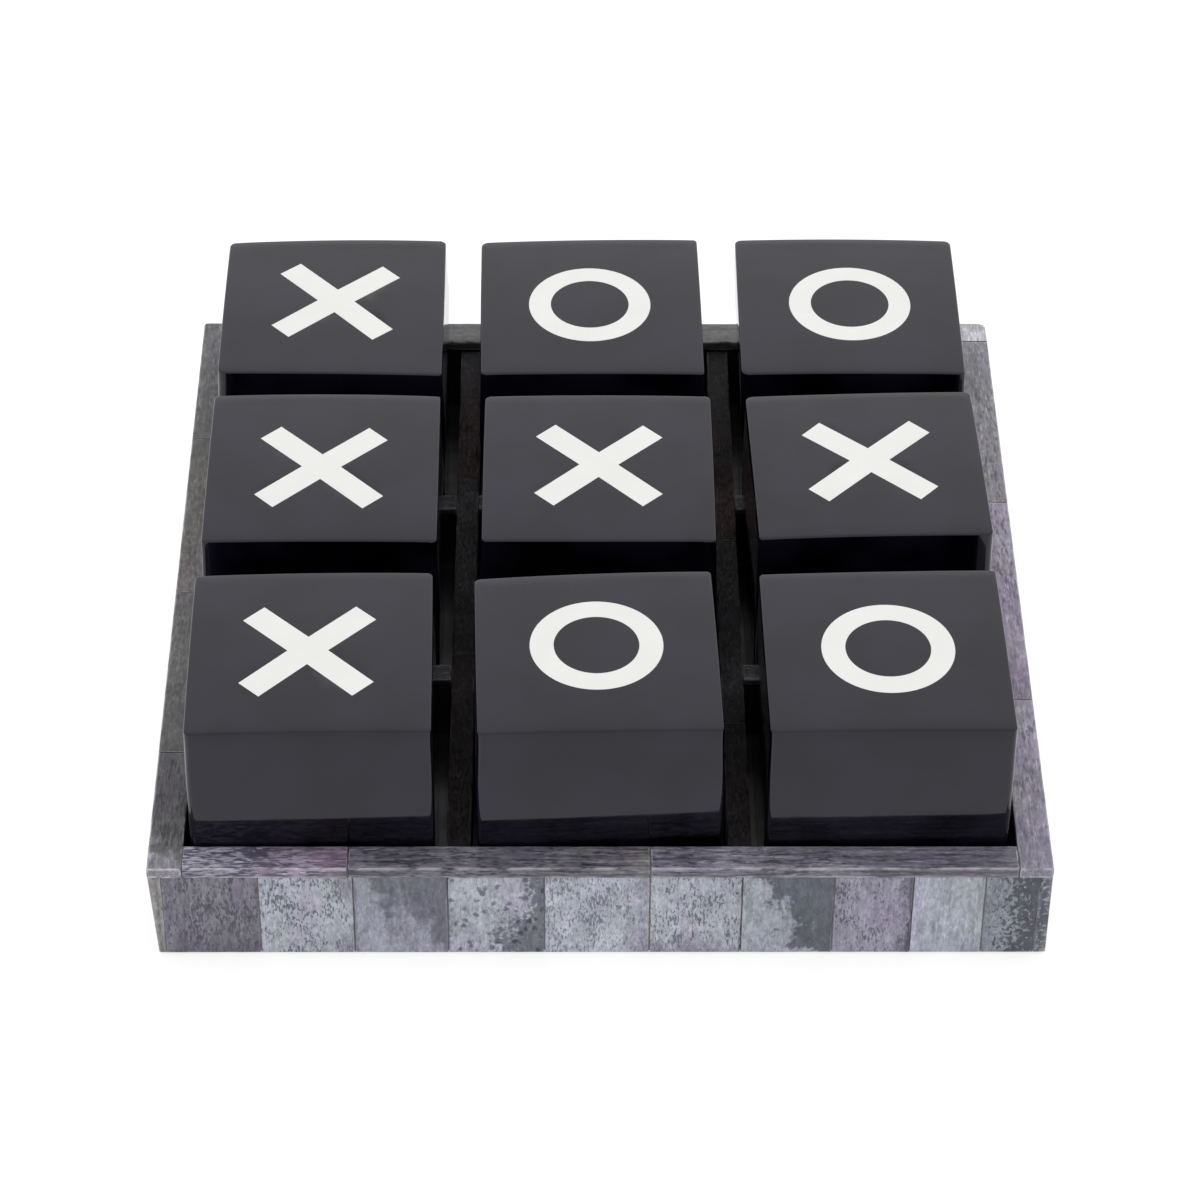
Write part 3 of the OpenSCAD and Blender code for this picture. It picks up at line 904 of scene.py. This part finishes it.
def block_rings(name, outline, bottom, top, height):
    """Rings of points from the underside up the walls, over the eased edge and onto the top."""
    rings = []
    foot_steps, edge_steps, top_insets = 3, 5, (0.9, 1.5, 2.2, 3.2)
    for step in range(foot_steps + 1):
        angle = math.pi / 2 * step / foot_steps
        ring = offset(outline, -block_foot * (1 - math.sin(angle)))
        rings.append([(x, y, bottom + block_foot * (1 - math.cos(angle))) for x, y in ring])
    shoulder = [height(x, y) for x, y in offset(outline, -block_edge)]
    for step in range(1, wall_levels):
        share = step / wall_levels
        rings.append([(x, y, bottom + block_foot + (z - block_edge - bottom - block_foot) * share)
                      for (x, y), z in zip(outline, shoulder)])
    for step in range(edge_steps + 1):
        angle = math.pi / 2 * step / edge_steps
        ring = offset(outline, -block_edge * (1 - math.cos(angle)))
        rings.append([(x, y, z - block_edge * (1 - math.sin(angle)))
                      for (x, y), z in zip(ring, shoulder)])
    for inset in top_insets:
        rings.append([(x, y, height(x, y)) for x, y in outline * (1 - inset / block_half)])
    rings = [[sanded(name, top, *point) for point in ring] for ring in rings]
    rings[-1] = [(x, y, height(x, y)) for x, y, _ in rings[-1]]
    return rings


def add_sheet(points, faces, sheet, level):
    """Adds a filled outline to a mesh in the making, each point at the height level gives."""
    flat, kept = sheet
    first = len(points)
    points.extend((x, y, level(x, y)) for x, y in flat)
    faces.extend(tuple(first + v for v in face) for face in kept)


def add_walls(points, faces, loop, upper, lower):
    """Adds the upright walls under an outline, from the height upper gives down to lower."""
    first, count = len(points), len(loop)
    points.extend((x, y, upper(x, y)) for x, y in loop)
    points.extend((x, y, lower) for x, y in loop)
    faces.extend((first + i, first + (i + 1) % count, first + count + (i + 1) % count,
                  first + count + i) for i in range(count))


def scatter_on_top(loops):
    """A loose grid of points on a block's top, clear of the symbol's outlines."""
    reach, spacing, shift, clearance = 22.5, 3, 0.7, 1.1
    rows = np.arange(-reach, reach + 0.5, spacing)
    grid = [(x + shift * (j % 2), y) for x in rows for j, y in enumerate(rows)]
    return [point for point in grid
            if all(np.min(np.linalg.norm(loop - point, axis=1)) > clearance for loop in loops)]


def scatter_in_symbol(loops):
    """A loose grid of points well inside a symbol's outlines, to carry the crown."""
    spacing, clearance = 1.7, 0.8
    low, high = loops[0].min(0), loops[0].max(0)
    grid = [(x, y) for x in np.arange(low[0], high[0], spacing)
            for y in np.arange(low[1], high[1], spacing)]
    return [point for point in grid
            if min(np.min(np.linalg.norm(loop - point, axis=1)) for loop in loops) > clearance
            and inside(point, loops)]


def solid(name, points, faces, home, finish):
    """A closed mesh from points in millimetres, put where the piece lies."""
    work = bmesh.new()
    corners = [work.verts.new(home @ Vector((x / 1000, y / 1000, z / 1000))) for x, y, z in points]
    for face in faces:
        work.faces.new([corners[v] for v in face])
    bmesh.ops.remove_doubles(work, verts=work.verts, dist=2e-6)
    bmesh.ops.recalc_face_normals(work, faces=work.faces)
    mesh = bpy.data.meshes.new(name)
    work.to_mesh(mesh)
    work.free()
    mesh.shade_smooth()
    mesh.set_sharp_from_angle(angle=math.radians(40))
    mesh.materials.append(finish)
    return new_object(name, mesh)


def make_block(name, block_node, symbol_node):
    """A crowned block with its pocket, and the inlay that fills it flush."""
    low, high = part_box(block_node)
    centre = Vector(((low.x + high.x) / 2, (low.y + high.y) / 2, 0))
    home = Matrix.Translation(centre) @ Matrix.Rotation(block_turn(block_node), 4, "Z")
    top, bottom = high.z * 1000, low.z * 1000
    radii = [block_rng.uniform(0.7, 1.9) for _ in range(4)]
    crown, shoulder = block_rng.uniform(0.3, 0.4), block_rng.uniform(0.12, 0.2)
    rise, shoulder_width, shoulder_shares = 0.28, 3.2, (1, 0.35, 0.5, 0.5)
    lean = (block_rng.uniform(-0.12, 0.12), block_rng.uniform(-0.12, 0.12))
    outline = block_outline(radii, block_rng.uniform(0.02, 0.1))

    def height(x, y):
        """The crowned top: highest in the middle, and rubbed down along its four edges."""
        u, v = x / block_half, y / block_half
        rounded = sum(share * max(0, 1 - (block_half - side) / shoulder_width) ** 2
                      for share, side in zip(shoulder_shares, (y, -y, x, -x)))
        return (top + rise - crown * (u * u + v * v) - shoulder * rounded
                + lean[0] * u + lean[1] * v)

    # The walls and the underside
    rings = block_rings(name, outline, bottom, top, height)
    points = [point for ring in rings for point in ring]
    count = len(outline)
    faces = [(r * count + i, r * count + (i + 1) % count, (r + 1) * count + (i + 1) % count,
              (r + 1) * count + i) for r in range(len(rings) - 1) for i in range(count)]
    faces.append(tuple(range(count))[::-1])

    # The top, with the pocket left open, then the pocket's walls and floor
    loops = []
    for loop in symbol_loops(symbol_node):
        local = [home.inverted() @ Vector((x / 1000, y / 1000, 0)) for x, y in loop]
        loops.append(np.array([(p.x * 1000, p.y * 1000) for p in local]))
    last_ring = np.array([point[:2] for point in rings[-1]])
    add_sheet(points, faces,
              fill([last_ring] + loops, scatter_on_top(loops),
                   lambda c: inside(c, [last_ring]) and not inside(c, loops)), height)
    pocket_floor = top - cut_depth
    for loop in loops:
        add_walls(points, faces, loop, height, pocket_floor)
    add_sheet(points, faces, fill(loops, [], lambda c: inside(c, loops)), lambda x, y: pocket_floor)
    block = solid(name + "_resin_block", points, faces, home, resin)

    # The inlay: its outline is the pocket's, less a hair of glue
    glue = 0.03
    underside = pocket_floor + glue
    slim = [offset(loop, -glue if i == 0 else glue) for i, loop in enumerate(loops)]
    points, faces = [], []
    add_sheet(points, faces,
              fill(slim, scatter_in_symbol(slim), lambda c: inside(c, slim)), height)
    add_sheet(points, faces, fill(slim, [], lambda c: inside(c, slim)), lambda x, y: underside)
    for loop in slim:
        add_walls(points, faces, loop, height, underside)
    shape = symbol_node.rsplit("_", 1)[1]
    inlay = solid(f"{name}_ivory_{shape}", points, faces, home, ivory)
    return block, inlay


# ---- Symbols ----
# Crosses and rings of ivory-coloured resin, poured into the pockets and polished flush
# with the blocks' tops.

ivory, graph, shader = new_finish("ivory_resin")
place = graph.millimetres()
milky = graph.noise(place, (0.12, 0.12, 0.12), 3)
motes = graph.noise(place, (3.5, 3.5, 3.5), 1)
ivory_colour = graph.mix(milky, ink(201, 201, 198), ink(208, 208, 206))
ivory_colour = graph.mix(graph.fade(motes, 0.68, 0.8, 0, 0.25), ivory_colour, ink(194, 192, 181))
graph.tree.links.new(ivory_colour, shader["Base Color"])
graph.tree.links.new(graph.fade(milky, 0.3, 0.7, 0.16, 0.28), shader["Roughness"])
graph.tree.links.new(graph.put("ShaderNodeBump", {"Strength": 0.1, "Distance": 0.00003,
                                                  "Height": milky}), shader["Normal"])
for block_node in [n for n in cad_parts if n.endswith("_block")]:
    name = block_node[:-len("_block")]
    symbol_node = next(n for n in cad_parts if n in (name + "_cross", name + "_ring"))
    block, inlay = make_block(name, block_node, symbol_node)
    for piece, node, slot in ((block, block_node, "black_resin"),
                              (inlay, symbol_node, "ivory_resin")):
        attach(piece, name + "_piece")
        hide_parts(node)
